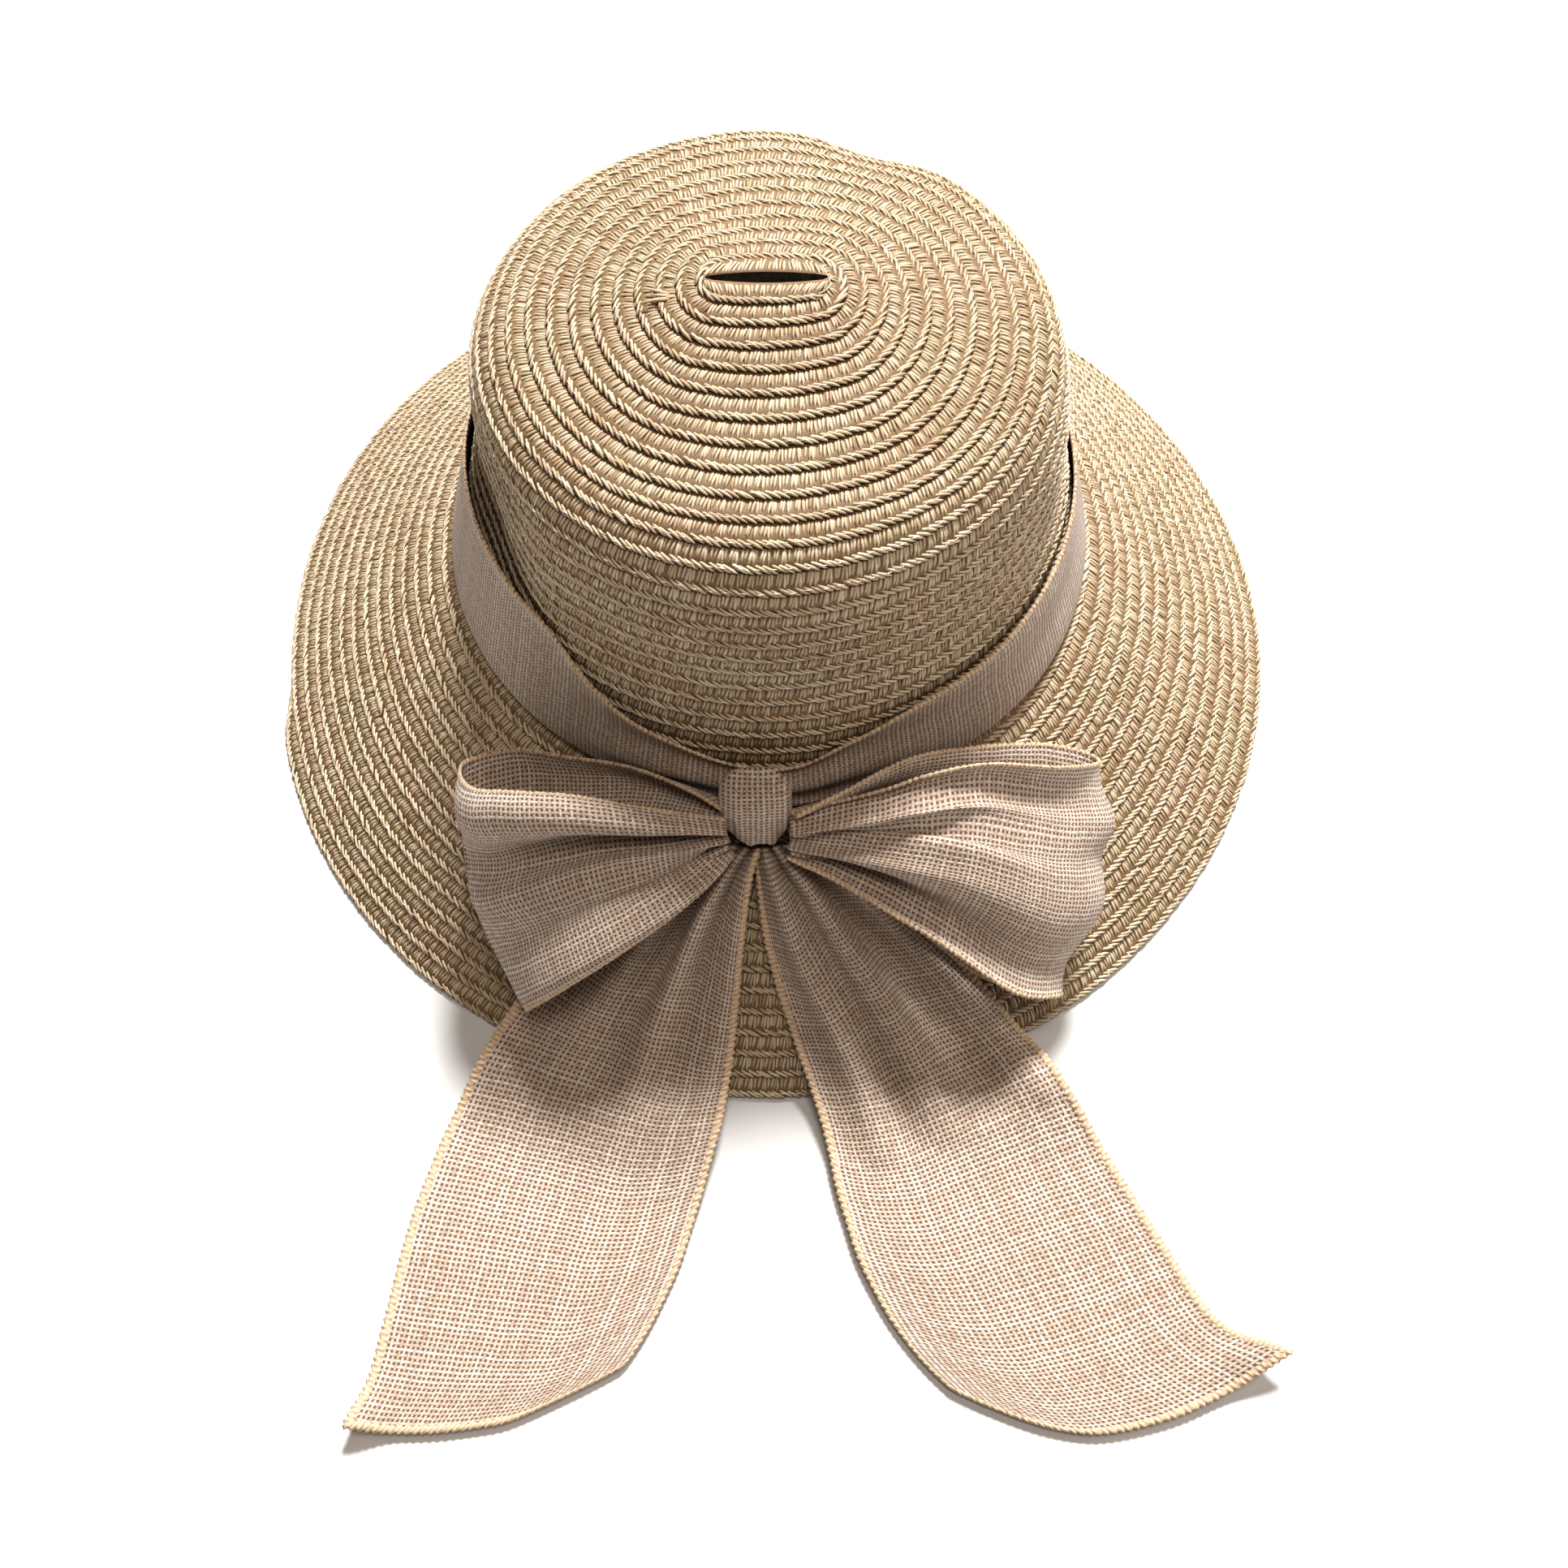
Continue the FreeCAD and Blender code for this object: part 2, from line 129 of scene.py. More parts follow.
def wall_row(z):
    """The row of the wall at a height above the foot."""
    return WALL_FOOT - np.maximum(z, 0) / math.cos(LEAN) / WALL * (WALL_FOOT - WALL_TOP)


def pushed_in(t, azimuth):
    """How far the wall is pushed in at the left, less its soft edge in front of that, mm."""
    wall = smooth((t - 12) / 3.5) * smooth((27 - t) / 3)
    return wall * (DENT * bump(turn_gap(azimuth, DENT_AT), 0, 0.30)
                   - RIDGE * bump(turn_gap(azimuth, RIDGE_AT), 0, 0.10))


def crown_swell(t):
    """The crown bulges under its shoulder and is drawn in where the ribbon is tied round it, mm."""
    return (BULGE * smooth((t - 4) / 6) * smooth((20 - t) / 6)
            - WAIST * smooth((t - 15) / 4) * smooth((28.5 - t) / 3))


def place(t, azimuth, lift):
    """A point of the hat: row, azimuth and height above the inner surface to x, y, z."""
    r = np.interp(t, ROW_AT, LINE[:, 0])
    z = np.interp(t, ROW_AT, LINE[:, 1])
    lean = np.interp(t, ROW_AT, LINE[:, 2])
    r = r + lift * np.sin(lean)
    z = z + lift * np.cos(lean)
    # The wall is pushed in at the left, and the tip dips at the back.
    r = r + crown_swell(t) - pushed_in(t, azimuth)
    back = smooth((t - 7) / 5) * smooth((18 - t) / 5)
    z = z - TIP_DIP * back * bump(turn_gap(azimuth, DIP_AT), 0, 0.22)
    r = r - TIP_IN * back * bump(turn_gap(azimuth, DIP_AT), 0, 0.22)
    # The brim is stretched down its slope where its last row is still short, so its edge is nearly round.
    brim = smooth((t - 28) / 12)
    behind_end = (SPIRAL_AT - azimuth) % TURN / TURN
    short = (1 - behind_end) * smooth(behind_end / 0.16)
    r = r + brim * (BRIM_OUT + 0.4 * np.sin(3 * azimuth + 0.6) + 0.3 * np.sin(5 * azimuth + 2.0))
    r = r + BRIM_STRETCH * brim * short * math.cos(SLOPE)
    z = z - BRIM_STRETCH * brim * short * math.sin(SLOPE)
    # The first rows run round a slit that gapes in its middle.
    start = ROWS_APART * np.clip(1 - t / 14, 0, 1) + SLIT_HALF * np.clip(1 - t, 0, 1)
    away = np.clip(2 * np.cos(azimuth), -1, 1)
    gape = SLIT_GAPE * np.clip(1 - t / 1.5, 0, 1) * (1 - away ** 2) * np.sign(np.sin(azimuth))
    return np.stack([r * np.cos(azimuth) + start * away, r * np.sin(azimuth) + gape, z], -1)


# ---------------------------------------------------------------- the spiral
SPIRAL_END = TURN * 39 + math.radians(175)
RATE = 39.0 / ((SPIRAL_END - math.pi / 2) / TURN)
TAPER = math.radians(11)


def strip_rows(psi):
    """The rows at which the strip's upper and lower edges lie, and how far its end is tucked."""
    raw = RATE * np.maximum(0, (psi - math.pi / 2) / TURN)
    top = raw * smooth((psi - 1.5 * math.pi) / math.pi)
    tuck = smooth((psi - (SPIRAL_END - TAPER)) / TAPER)
    return top - tuck, raw + 1 + LAP - tuck, tuck


def lengths(points):
    """How far along a line each of its points lies."""
    return np.concatenate([[0], np.cumsum(np.linalg.norm(np.diff(points, axis=0), axis=1))])


def path_table():
    """How far along the strip's middle line each angle of the spiral lies, mm."""
    psi = np.linspace(0, SPIRAL_END, 60001)
    top, low, _ = strip_rows(psi)
    return psi, lengths(place((top + low) / 2, -psi, np.full_like(psi, 1.0)))


PATH_PSI, PATH_U = path_table()


def lift_at(v):
    """Height of the strands' middle above the inner surface, across the strip."""
    return MIDDLE_LIFT + EDGE_LIFT * (v / STRIP) ** 1.7


def on_strip(u, v, w):
    """u along the strip, v across it from its upper edge, w above the inner surface, to x, y, z."""
    psi = np.interp(u, PATH_U, PATH_PSI)
    top, low, tuck = strip_rows(psi)
    t = np.maximum(top + (low - top) * v / STRIP, 0.02)
    return place(t, -psi, w - 0.9 * tuck)


# ---------------------------------------------------------------- meshes from arrays
def mesh_object(name, points, quads, materials, tones=None, uv=None, which=None):
    """points in mm; tones and uv go by point, and which is each face's material."""
    mesh = bpy.data.meshes.new(name)
    corners = np.asarray(quads, np.int32).ravel()
    mesh.vertices.add(len(points))
    mesh.vertices.foreach_set("co", (np.asarray(points) * MM).astype(np.float32).ravel())
    mesh.loops.add(len(corners))
    mesh.loops.foreach_set("vertex_index", corners)
    mesh.polygons.add(len(quads))
    mesh.polygons.foreach_set("loop_start", np.arange(len(quads), dtype=np.int32) * 4)
    mesh.polygons.foreach_set("use_smooth", np.ones(len(quads), bool))
    if which is not None:
        mesh.polygons.foreach_set("material_index", np.asarray(which, np.int32))
    mesh.update(calc_edges=True)
    if tones is not None:
        layer = mesh.attributes.new("tone", "FLOAT", "POINT")
        layer.data.foreach_set("value", np.asarray(tones, np.float32))
    if uv is not None:
        layer = mesh.uv_layers.new(name="cloth")
        layer.data.foreach_set("uv", np.asarray(uv, np.float32)[corners].ravel())
    mesh.validate()
    obj = bpy.data.objects.new(name, mesh)
    bpy.context.scene.collection.objects.link(obj)
    for m in materials:
        mesh.materials.append(m)
    return obj


def tube_faces(count, rings, sides=4):
    """Quads of many four-sided tubes, each of rings x sides points, with closed ends."""
    base = np.arange(count) * rings * sides
    quads = []
    for i in range(rings - 1):
        for j in range(sides):
            k = (j + 1) % sides
            near, far = base + i * sides, base + (i + 1) * sides
            quads.append(np.stack([near + j, near + k, far + k, far + j], -1))
    last = base + (rings - 1) * sides
    quads.append(np.stack([base + s for s in (3, 2, 1, 0)], -1))
    quads.append(np.stack([last + s for s in (0, 1, 2, 3)], -1))
    return np.concatenate(quads)


def strands(u, v, w, half_u, half_v, high):
    """Four-sided strands on the strip. u, v, w are (count, rings) lines of their middles."""
    side_u = np.array([-1.0, 0, 1.0, 0])
    side_w = np.array([0, 1.0, 0, -0.85])
    taper = np.ones(u.shape[1])
    taper[0] = taper[-1] = 0.55
    uu = u[..., None] + side_u * half_u[..., None] * taper[None, :, None]
    vv = v[..., None] + side_u * half_v[..., None] * taper[None, :, None]
    ww = w[..., None] + side_w * high[..., None] * taper[None, :, None]
    return on_strip(uu, np.clip(vv, 0, STRIP), ww).reshape(-1, 3)


def braid_piece(name, rows_from, rows_to, materials):
    """The plaited strands and the backing of the strip between two rows of its upper edge."""
    psi_from = math.pi / 2 + rows_from / RATE * TURN if rows_from > 0 else 0
    psi_to = math.pi / 2 + rows_to / RATE * TURN
    u_from, u_to = np.interp([psi_from, min(psi_to, SPIRAL_END)], PATH_PSI, PATH_U)
    at = np.arange(math.ceil(u_from / REPEAT), math.ceil(u_to / REPEAT)) * REPEAT
    n = len(at)
    everything, tones, faces, base = [], [], [], 0
    patch = 0.5 + 0.25 * np.sin(at / 37.0) + 0.25 * np.sin(at / 13.1 + 1.0)

    def add(u, v, w, hu, hv, high, tone):
        nonlocal base
        p = strands(u, v, w, hu, hv, high)
        everything.append(p)
        tones.append(np.repeat(tone, len(p) // len(u)))
        faces.append(tube_faces(*u.shape) + base)
        base += len(p)

    # Rungs: two fine strands to each, in pairs that lean towards each other.
    across = np.array([0.1, 0.26, 0.48, 0.70])
    offset = [0.38, 1.30, 2.36, 3.28]
    lean = [1.75, 1.55, 0.75, 0.55]
    reach = [0.72, 0.64, 0.66, 0.76]
    rise = [0.16, 0.05, -0.06, 0.10]
    for k in range(4):
        jit = rng.normal(0, 0.16, (n, 1))
        v = STRIP * (across * reach[k] / 0.70)[None, :] + rng.normal(0, 0.05, (n, 4))
        u = at[:, None] + offset[k] + jit - lean[k] * (0.5 - across[None, :]) - 0.25
        arch = np.array([-0.45, 0.12, 0.18, -0.42])
        w = lift_at(v) + arch[None, :] + rise[k] + rng.normal(0, 0.05, (n, 1))
        hu = np.broadcast_to(0.47 + rng.normal(0, 0.04, (n, 1)), u.shape)
        tone = np.clip(0.5 + rng.normal(0, 0.17, n) + 0.2 * (patch - 0.5), 0, 1)
        add(u, v, w, hu, np.zeros_like(hu), np.full_like(hu, 0.42), tone)
    # The lower edge: strokes laid the other way, like a twisted cord.
    for k in range(2):
        run = np.array([0.0, 0.25, 0.5, 0.75, 1.0])
        u = at[:, None] + 0.9 + k * REPEAT / 2 + 2.2 - 4.3 * run[None, :] + rng.normal(0, 0.22, (n, 1))
        v = 5.15 + 1.85 * run[None, :] ** 1.25 + rng.normal(0, 0.12, (n, 1))
        arch = np.array([-0.40, 0.02, 0.20, 0.12, -0.25])
        w = lift_at(v) + arch[None, :] + rng.normal(0, 0.04, (n, 1))
        hv = np.broadcast_to(0.56 + rng.normal(0, 0.04, (n, 1)), u.shape)
        tone = np.clip(0.47 + rng.normal(0, 0.14, n) + 0.2 * (patch - 0.5), 0, 1)
        add(u, v, w, -0.25 * hv, hv, np.full_like(hv, 0.46), tone)
    strand_faces = sum(len(f) for f in faces)
    # The backing: a thin closed strip below the strands, coloured dark as painted shade between and below
    # them.
    steps = max(8, int((u_to - u_from) / 5))
    u = np.linspace(u_from, u_to, steps + 1)[:, None, None]
    v = np.array([0.5, 3.6, 6.7])[None, None, :]
    w = lift_at(v) - 0.05 + np.array([0.12, -0.12])[None, :, None]
    grid = on_strip(np.broadcast_to(u, (steps + 1, 2, 3)), np.broadcast_to(v, (steps + 1, 2, 3)),
                    np.broadcast_to(w, (steps + 1, 2, 3)))
    order = [(0, 0), (0, 1), (0, 2), (1, 2), (1, 1), (1, 0)]
    ring = np.stack([grid[:, i, j] for i, j in order], 1)
    quads = []
    row = np.arange(steps) * 6 + base
    for j in range(6):
        k = (j + 1) % 6
        quads.append(np.stack([row + j, row + k, row + 6 + k, row + 6 + j], -1))
    for end in (base, base + steps * 6):
        quads.append(np.array([[end, end + 1, end + 4, end + 5], [end + 1, end + 2, end + 3, end + 4]]))
    faces.append(np.concatenate(quads))
    everything.append(ring.reshape(-1, 3))
    tones.append(np.full(ring.shape[0] * 6, 0.3))
    which = np.concatenate([np.zeros(strand_faces, int), np.ones(len(faces[-1]), int)])
    obj = mesh_object(name, np.concatenate(everything), np.concatenate(faces), materials,
                      tones=np.concatenate(tones), which=which)
    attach(obj, "hat")
    return obj


def stitch_piece(name, rows_from, rows_to, material):
    """Short runs of clear thread over the lower edge of each row."""
    psi = math.pi / 2 + np.array([max(rows_from, 0.0), rows_to]) / RATE * TURN
    if rows_from <= 0:
        psi[0] = 0
    u_from, u_to = np.interp(np.minimum(psi, SPIRAL_END), PATH_PSI, PATH_U)
    at = np.arange(u_from + 1, u_to - 4, STITCH_EVERY)
    at = at + rng.normal(0, 0.25, len(at))
    n = len(at)
    run = np.array([0.0, 0.5, 1.0])
    u = at[:, None] + STITCH_LONG * run[None, :]
    v = np.broadcast_to(STITCH_AT + rng.normal(0, 0.16, (n, 1)), u.shape)
    w = lift_at(v) + np.array([0.30, 0.62, 0.30])[None, :]
    thin = np.full_like(u, 0.15)
    p = strands(u, v, w, np.zeros_like(u), thin, thin)
    obj = mesh_object(name, p, tube_faces(n, len(run)), [material])
    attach(obj, "hat")
    return obj


# ---------------------------------------------------------------- materials
def new_material(name):
    m = bpy.data.materials.new(name)
    m.use_nodes = True
    nodes, links = m.node_tree.nodes, m.node_tree.links
    nodes.clear()
    out = nodes.new("ShaderNodeOutputMaterial")
    shader = nodes.new("ShaderNodeBsdfPrincipled")
    links.new(shader.outputs[0], out.inputs[0])
    return m, nodes, links, shader


def link_value(links, value, socket):
    if hasattr(value, "node"):
        links.new(value, socket)
    else:
        socket.default_value = value


def maths(nodes, links, operation, a, b=0.0, clamp=False):
    node = nodes.new("ShaderNodeMath")
    node.operation = operation
    node.use_clamp = clamp
    link_value(links, a, node.inputs[0])
    link_value(links, b, node.inputs[1])
    return node.outputs[0]


def ramp(nodes, links, value, stops):
    node = nodes.new("ShaderNodeValToRGB")
    element = node.color_ramp.elements
    while len(element) < len(stops):
        element.new(0.5)
    for e, (position, colour) in zip(element, stops):
        e.position = position
        e.color = (*colour, 1)
    links.new(value, node.inputs[0])
    return node.outputs[0]


def noise(nodes, links, vector, scale, detail=2.0, rough=0.5):
    node = nodes.new("ShaderNodeTexNoise")
    node.inputs["Scale"].default_value = scale
    node.inputs["Detail"].default_value = detail
    node.inputs["Roughness"].default_value = rough
    if vector is not None:
        links.new(vector, node.inputs["Vector"])
    return node.outputs[0]


def mix_colour(nodes, links, share, a, b, blend="MIX"):
    node = nodes.new("ShaderNodeMix")
    node.data_type = "RGBA"
    node.blend_type = blend
    link_value(links, share, node.inputs[0])
    for value, socket in ((a, node.inputs[6]), (b, node.inputs[7])):
        if hasattr(value, "node"):
            links.new(value, socket)
        else:
            socket.default_value = (*value, 1)
    return node.outputs[2]


def bump_into(nodes, links, shader, height, strength, distance):
    node = nodes.new("ShaderNodeBump")
    node.inputs["Strength"].default_value = strength
    node.inputs["Distance"].default_value = distance
    links.new(height, node.inputs["Height"])
    links.new(node.outputs[0], shader.inputs["Normal"])


def straw_material(name, painted_gap_shade=False):
    m, nodes, links, shader = new_material(name)
    coords = nodes.new("ShaderNodeTexCoord").outputs["Object"]
    tone = nodes.new("ShaderNodeAttribute")
    tone.attribute_name = "tone"
    fibre = noise(nodes, links, coords, 2600.0, 2.0, 0.6)
    patch = noise(nodes, links, coords, 55.0, 2.0, 0.5)
    mixed = maths(nodes, links, "ADD", maths(nodes, links, "MULTIPLY", tone.outputs["Fac"], 0.62),
                  maths(nodes, links, "MULTIPLY", fibre, 0.38))
    # The backing's colours are far darker than the straw's: painted shade between and below the strands.
    if painted_gap_shade:
        stops = [(0.15, (0.16, 0.10, 0.055)), (0.5, (0.25, 0.17, 0.095)), (0.85, (0.34, 0.24, 0.14))]
    else:
        stops = [(0.12, (0.30, 0.205, 0.12)), (0.32, (0.43, 0.325, 0.215)), (0.52, (0.54, 0.44, 0.32)),
                 (0.75, (0.64, 0.56, 0.44)), (0.95, (0.72, 0.665, 0.56))]
    colour = ramp(nodes, links, mixed, stops)
    warm = ramp(nodes, links, patch, [(0.35, (0.97, 1.0, 0.94)), (0.65, (1.0, 0.955, 0.93))])
    colour = mix_colour(nodes, links, 0.8, colour, warm, "MULTIPLY")
    links.new(colour, shader.inputs["Base Color"])
    rough = maths(nodes, links, "ADD", maths(nodes, links, "MULTIPLY", fibre, 0.3), 0.42)
    links.new(rough, shader.inputs["Roughness"])
    shader.inputs["Specular IOR Level"].default_value = 0.35
    bump_into(nodes, links, shader, fibre, 0.35, 0.0002)
    return m


def thread_material():
    m, nodes, links, shader = new_material("clear_thread")
    coords = nodes.new("ShaderNodeTexCoord").outputs["Object"]
    flaws = noise(nodes, links, coords, 900.0)
    links.new(ramp(nodes, links, flaws, [(0.3, (0.62, 0.58, 0.50)), (0.7, (0.82, 0.80, 0.76))]),
              shader.inputs["Base Color"])
    links.new(maths(nodes, links, "ADD", maths(nodes, links, "MULTIPLY", flaws, 0.2), 0.06),
              shader.inputs["Roughness"])
    shader.inputs["Specular IOR Level"].default_value = 0.8
    shader.inputs["Coat Weight"].default_value = 0.6
    shader.inputs["Coat Roughness"].default_value = 0.08
    return m


def weave_material(name, pitch, thread, gap_shade_colour, stops, strength=0.9):
    """Open plain weave: two sets of yarn at a pitch in mm, over and under by turns, with gaps that are filled
    with a dark colour as painted shade, and yarns darkened as painted shade where they lie low.
    """
    m, nodes, links, shader = new_material(name)
    uv = nodes.new("ShaderNodeUVMap")
    uv.uv_map = "cloth"
    split = nodes.new("ShaderNodeSeparateXYZ")
    links.new(uv.outputs[0], split.inputs[0])

    def mth(op, a, b=0.0, clamp=False):
        return maths(nodes, links, op, a, b, clamp)

    wander = noise(nodes, links, uv.outputs[0], 0.11, 2.0, 0.5)
    drift = mth("MULTIPLY", mth("SUBTRACT", wander, 0.5), 0.7)
    u = mth("ADD", mth("DIVIDE", split.outputs[0], pitch), drift)
    v = mth("ADD", mth("DIVIDE", split.outputs[1], pitch), drift)
    row, column = mth("FLOOR", v), mth("FLOOR", u)
    yarn_u = nodes.new("ShaderNodeTexWhiteNoise")
    yarn_u.noise_dimensions = "1D"
    links.new(column, yarn_u.inputs["W"])
    yarn_v = nodes.new("ShaderNodeTexWhiteNoise")
    yarn_v.noise_dimensions = "1D"
    links.new(mth("ADD", row, 311.0), yarn_v.inputs["W"])
    # Distance from the middle of each yarn, 0 to 0.5, less where the yarn is thick.
    slub = noise(nodes, links, uv.outputs[0], 0.55, 3.0, 0.6)
    du = mth("ABSOLUTE", mth("SUBTRACT", mth("FRACT", u), 0.5))
    dv = mth("ABSOLUTE", mth("SUBTRACT", mth("FRACT", v), 0.5))
    half = mth("ADD", mth("MULTIPLY", slub, 0.13), thread)
    cover_u = mth("MULTIPLY", mth("SUBTRACT", half, du), 11.0, True)
    cover_v = mth("MULTIPLY", mth("SUBTRACT", half, dv), 11.0, True)
    covered = mth("MAXIMUM", cover_u, cover_v)
    parity = mth("MODULO", mth("ADD", mth("ADD", row, column), 20000.0), 2.0)
    over = mth("GREATER_THAN", parity, 0.5)
    # Rounded yarns: the one on top is high in its middle.
    round_u = mth("SUBTRACT", 1.0, mth("MULTIPLY", mth("MULTIPLY", du, du), 4.6))
    round_v = mth("SUBTRACT", 1.0, mth("MULTIPLY", mth("MULTIPLY", dv, dv), 4.6))
    top_u = mth("MULTIPLY", cover_u, mth("MULTIPLY", round_u, mth("ADD", mth("MULTIPLY", over, 0.38), 0.62)))
    under = mth("SUBTRACT", 1.0, over)
    top_v = mth("MULTIPLY", cover_v, mth("MULTIPLY", round_v, mth("ADD", mth("MULTIPLY", under, 0.38), 0.62)))
    height = mth("MAXIMUM", top_u, top_v)
    fibre = noise(nodes, links, uv.outputs[0], 4.5, 2.0, 0.6)
    u_wins = mth("GREATER_THAN", top_u, top_v)
    v_wins = mth("SUBTRACT", 1.0, u_wins)
    yarn = mth("ADD", mth("MULTIPLY", yarn_u.outputs["Value"], u_wins),
               mth("MULTIPLY", yarn_v.outputs["Value"], v_wins))
    tone = mth("ADD", mth("ADD", mth("MULTIPLY", yarn, 0.20), mth("MULTIPLY", slub, 0.48)),
               mth("MULTIPLY", fibre, 0.32))
    colour = ramp(nodes, links, tone, stops)
    # Painted shade: the colour is darkened where the yarns lie low, at their sides, where one runs under the
    # other, and in the gaps.
    shade_by_height = mth("ADD", mth("MULTIPLY", height, 0.5), 0.5)
    painted_shade = nodes.new("ShaderNodeCombineColor")
    for socket in painted_shade.inputs[:3]:
        links.new(shade_by_height, socket)
    colour = mix_colour(nodes, links, 1.0, colour, painted_shade.outputs[0], "MULTIPLY")
    # The gaps between the yarns are filled with a dark colour: painted shade, as if seen through the open
    # weave.
    colour = mix_colour(nodes, links, covered, gap_shade_colour, colour)
    links.new(colour, shader.inputs["Base Color"])
    links.new(mth("ADD", mth("MULTIPLY", fibre, 0.2), 0.66), shader.inputs["Roughness"])
    shader.inputs["Specular IOR Level"].default_value = 0.25
    shader.inputs["Sheen Weight"].default_value = 0.12
    shader.inputs["Sheen Roughness"].default_value = 0.5
    bump_into(nodes, links, shader, height, strength, 0.0005)
    return m


def cord_material(name, stops):
    """Overlocking or sewing thread: fine slanted strands across the cord."""
    m, nodes, links, shader = new_material(name)
    uv = nodes.new("ShaderNodeUVMap")
    uv.uv_map = "cloth"
    split = nodes.new("ShaderNodeSeparateXYZ")
    links.new(uv.outputs[0], split.inputs[0])
    slant = maths(nodes, links, "ADD", maths(nodes, links, "MULTIPLY", split.outputs[0], 4.4),
                  maths(nodes, links, "MULTIPLY", split.outputs[1], 1.6))
    wave = maths(nodes, links, "SINE", slant)
    grain = noise(nodes, links, uv.outputs[0], 1.6, 3.0, 0.6)
    tone = maths(nodes, links, "ADD", maths(nodes, links, "MULTIPLY", wave, 0.16),
                 maths(nodes, links, "ADD", maths(nodes, links, "MULTIPLY", grain, 0.7), 0.15))
    links.new(ramp(nodes, links, tone, stops), shader.inputs["Base Color"])
    shader.inputs["Roughness"].default_value = 0.7
    shader.inputs["Specular IOR Level"].default_value = 0.3
    bump_into(nodes, links, shader, tone, 0.7, 0.0004)
    return m


# ---------------------------------------------------------------- cloth
def curve(points, count):
    """A smooth line through a few points, evenly spaced along its length."""
    p = np.array(points, float)
    ends = np.concatenate([[2 * p[0] - p[1]], p, [2 * p[-1] - p[-2]]])
    fine = []
    for i in range(1, len(ends) - 2):
        a, b, c, d = ends[i - 1], ends[i], ends[i + 1], ends[i + 2]
        for s in np.linspace(0, 1, 24, endpoint=False):
            fine.append(0.5 * (2 * b + (c - a) * s + (2 * a - 5 * b + 4 * c - d) * s * s
                               + (3 * b - a - 3 * c + d) * s ** 3))
    fine.append(p[-1])
    fine = np.array(fine)
    far = lengths(fine)
    at = np.linspace(0, far[-1], count)
    return np.stack([np.interp(at, far, fine[:, k]) for k in range(p.shape[1])], -1)


def grid_normals(grid, closed=False):
    du = np.gradient(grid, axis=0)
    if closed:
        du = (np.roll(grid, -1, 0) - np.roll(grid, 1, 0)) / 2
    dv = np.gradient(grid, axis=1)
    n = np.cross(du, dv)
    return n / np.maximum(np.linalg.norm(n, axis=-1, keepdims=True), 1e-9)


def cloth(name, grid, thick, material, uv, closed=False):
    """A closed thin sheet from a grid of points in mm. uv is the cloth's own flat coordinates in mm."""
    rows, columns = grid.shape[:2]
    normal = grid_normals(grid, closed)
    points = np.concatenate([(grid + normal * thick / 2).reshape(-1, 3),
                             (grid - normal * thick / 2).reshape(-1, 3)])
    index = np.arange(rows * columns).reshape(rows, columns)
    under = index + rows * columns
    span = rows if closed else rows - 1
    a, b = index, np.roll(index, -1, 0)
    c, d = under, np.roll(under, -1, 0)
    quads = [np.stack([a[:span, :-1], b[:span, :-1], b[:span, 1:], a[:span, 1:]], -1).reshape(-1, 4),
             np.stack([c[:span, :-1], c[:span, 1:], d[:span, 1:], d[:span, :-1]], -1).reshape(-1, 4),
             np.stack([a[:span, 0], c[:span, 0], d[:span, 0], b[:span, 0]], -1),
             np.stack([a[:span, -1], b[:span, -1], d[:span, -1], c[:span, -1]], -1)]
    if not closed:
        quads += [np.stack([index[0, :-1], index[0, 1:], under[0, 1:], under[0, :-1]], -1),
                  np.stack([index[-1, :-1], under[-1, :-1], under[-1, 1:], index[-1, 1:]], -1)]
    flat = np.concatenate([uv.reshape(-1, 2), uv.reshape(-1, 2)])
    return mesh_object(name, points, np.concatenate(quads), [material], uv=flat)


def hem(name, lines, wide, high, material, stitch=1.9):
    """Overlocking along one or more edges: a flat cord whose surface rises and falls with each stitch.
    Each line is (points, inward directions, normals), all (n, 3)."""
    all_points, all_faces, all_uv, base = [], [], [], 0
    sides = 8
    for line, inward, normal in lines:
        far = lengths(line)
        count = max(int(far[-1] / (stitch / 4)), 8)
        at = np.linspace(0, far[-1], count)
        p, q, n = (np.stack([np.interp(at, far, x[:, k]) for k in range(3)], -1)
                   for x in (line, inward, normal))
        q /= np.linalg.norm(q, axis=1, keepdims=True)
        n /= np.linalg.norm(n, axis=1, keepdims=True)
        angle = np.linspace(0, TURN, sides, endpoint=False)
        phase = TURN * at[:, None] / stitch + 1.1 * np.cos(angle)[None, :]
        swell = 1 + 0.24 * np.cos(phase) + 0.05 * np.sin(at / 3.1)[:, None]
        ends = np.ones(count)
        ends[0] = ends[-1] = 0.25
        swell = swell * ends[:, None]
        points = (p[:, None] + q[:, None] * (wide / 2 * (0.72 + swell * np.cos(angle)[None, :]))[..., None]
                  + n[:, None] * (high / 2 * swell * np.sin(angle)[None, :])[..., None])
        index = np.arange(count * sides).reshape(count, sides) + base
        side = np.roll(index, -1, 1)
        all_faces.append(np.stack([index[:-1], side[:-1], side[1:], index[1:]], -1).reshape(-1, 4))
        for ring, flip in ((index[0], 1), (index[-1], -1)):
            r = ring[::flip]
            all_faces.append(np.array([[r[3], r[2], r[1], r[0]], [r[7], r[4], r[3], r[0]],
                                       [r[7], r[6], r[5], r[4]]]))
        all_points.append(points.reshape(-1, 3))
        flat = np.stack(np.broadcast_arrays(at[:, None], angle[None, :] * wide / 3), -1)
        all_uv.append(flat.reshape(-1, 2))
        base += count * sides
    return mesh_object(name, np.concatenate(all_points), np.concatenate(all_faces), [material],
                       uv=np.concatenate(all_uv))


def edge_line(grid, which):
    """An edge of a cloth grid: its points, the direction into the cloth and the cloth's normal."""
    normal = grid_normals(grid)
    if which == "end":
        return grid[-1], grid[-2] - grid[-1], normal[-1]
    i, j = (0, 1) if which == "first" else (-1, -2)
    return grid[:, i], grid[:, j] - grid[:, i], normal[:, i]


